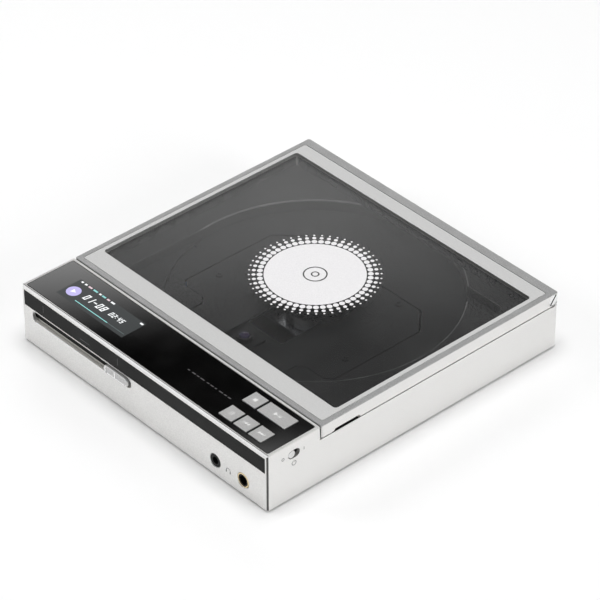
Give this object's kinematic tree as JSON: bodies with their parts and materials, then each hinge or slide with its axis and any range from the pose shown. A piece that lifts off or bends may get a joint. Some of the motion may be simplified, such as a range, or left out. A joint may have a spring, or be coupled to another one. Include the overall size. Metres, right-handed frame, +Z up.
{
  "type": "portable optical disc player",
  "caption": "Slim aluminium top-loading disc player with a hinged glass lid, front control panel with display and keys, slide controls, headphone sockets and a laser drive inside.",
  "frame": {"origin": "on the resting surface, under the middle of the object's box (volume knob included)", "axes": "+X to the right along the front edge, +Y from the control panel to the hinge, +Z up"},
  "size_m": [0.15, 0.159, 0.0283],
  "materials": {
    "case_metal": "bead-blasted natural anodised, bright cut edges",
    "key_metal": "satin, bright cut edges",
    "steel": "satin",
    "gold_ring": "polished gold plate",
    "panel_glass": "black, polished",
    "lid_pane": "smoke tint, polished, with a light grey printed border",
    "black_plastic": "fine matt texture",
    "band_plastic": "matt dark grey",
    "rubber": "matt",
    "felt": "short felt",
    "board": "green lacquer",
    "cell_wrap": "shrink sleeve",
    "lens_glass": "coated, polished",
    "print_white": "screen-printed white",
    "display_light": "lit display pixels"
  },
  "bodies": {
    "base": {"base_shell": "case_metal", "bottom_plate": "case_metal", "front_band": "band_plastic", "disc_tray": "black_plastic", "mech_cover": "black_plastic", "catch_magnet_left": "steel", "catch_magnet_right": "steel", "control_glass": "panel_glass", "display_module": "black_plastic", "front_board": "board", "main_board": "board", "port_board": "board", "battery_left": "cell_wrap", "battery_right": "cell_wrap", "jack_3_5": "black_plastic", "jack_4_4": "gold_ring", "usb_port": "steel", "digital_out_jack": "black_plastic", "slide_potentiometer": "band_plastic", "power_switch_body": "black_plastic", "mech_frame": "steel", "spindle_motor": "steel", "sled_motor": "steel", "guide_rod_left": "steel", "guide_rod_right": "steel", "hinge_bracket_left": "steel", "hinge_bracket_right": "steel", "hinge_pin_left": "steel", "hinge_pin_right": "steel", "bottom_screw_front_left": "steel", "foot_front_left": "rubber", "damper_front_left": "rubber", "bottom_screw_rear_left": "steel", "foot_rear_left": "rubber", "damper_rear_left": "rubber", "bottom_screw_front_right": "steel", "foot_front_right": "rubber", "damper_front_right": "rubber", "bottom_screw_rear_right": "steel", "foot_rear_right": "rubber", "damper_rear_right": "rubber"},
    "lid": {"lid_frame": "case_metal", "lid_glass": "lid_pane", "lid_strike_left": "steel", "lid_strike_right": "steel", "clamp_holder": "black_plastic"},
    "clamp": {"clamp_puck": "black_plastic", "clamp_pad": "felt"},
    "spindle": {"turntable_hub": "black_plastic", "hub_pad": "rubber"},
    "sled": {"pickup_carriage": "black_plastic", "objective_lens": "lens_glass"},
    "lead_screw": {"lead_screw": "steel"},
    "volume_slider": {"volume_knob": "key_metal"},
    "power_slider": {"power_knob": "key_metal"},
    "stop_key": {"stop_button": "key_metal"},
    "play_key": {"play_button": "key_metal"},
    "menu_key": {"menu_button": "key_metal"},
    "previous_key": {"previous_button": "key_metal"},
    "next_key": {"next_button": "key_metal"}
  },
  "joints": [
    {"name": "lid_hinge", "type": "hinge", "parent": "base", "child": "lid", "pos_m": [0, 0.0769, 0.0249], "axis": [-1, 0, 0], "range_deg": [0, 95]},
    {"name": "clamp_spin", "type": "hinge", "parent": "lid", "child": "clamp", "pos_m": [0, 0.0146, 0.023], "axis": [0, 0, 1], "continuous": true},
    {"name": "spindle_spin", "type": "hinge", "parent": "base", "child": "spindle", "pos_m": [0, 0.0146, 0.018], "axis": [0, 0, 1], "continuous": true},
    {"name": "sled_slide", "type": "slide", "parent": "base", "child": "sled", "axis": [0, -1, 0], "range_m": [-0.0146, 0.0194]},
    {"name": "screw_spin", "type": "hinge", "parent": "base", "child": "lead_screw", "pos_m": [0.028, -0.0265, 0.01], "axis": [0, 1, 0], "continuous": true},
    {"name": "volume_slide", "type": "slide", "parent": "base", "child": "volume_slider", "axis": [1, 0, 0], "range_m": [-0.0454, 0]},
    {"name": "power_slide", "type": "slide", "parent": "base", "child": "power_slider", "axis": [0, 1, 0], "range_m": [0, 0.0019]},
    {"name": "stop_press", "type": "slide", "parent": "base", "child": "stop_key", "axis": [0, 0, -1], "range_m": [0, 0.0005], "stiffness_N_per_m": 1500},
    {"name": "play_press", "type": "slide", "parent": "base", "child": "play_key", "axis": [0, 0, -1], "range_m": [0, 0.0005], "stiffness_N_per_m": 1500},
    {"name": "menu_press", "type": "slide", "parent": "base", "child": "menu_key", "axis": [0, 0, -1], "range_m": [0, 0.0005], "stiffness_N_per_m": 1500},
    {"name": "previous_press", "type": "slide", "parent": "base", "child": "previous_key", "axis": [0, 0, -1], "range_m": [0, 0.0005], "stiffness_N_per_m": 1500},
    {"name": "next_press", "type": "slide", "parent": "base", "child": "next_key", "axis": [0, 0, -1], "range_m": [0, 0.0005], "stiffness_N_per_m": 1500}
  ],
  "couplings": [
    {"joint": "screw_spin", "follows": "sled_slide", "rad_per_m": 1047.2}
  ]
}
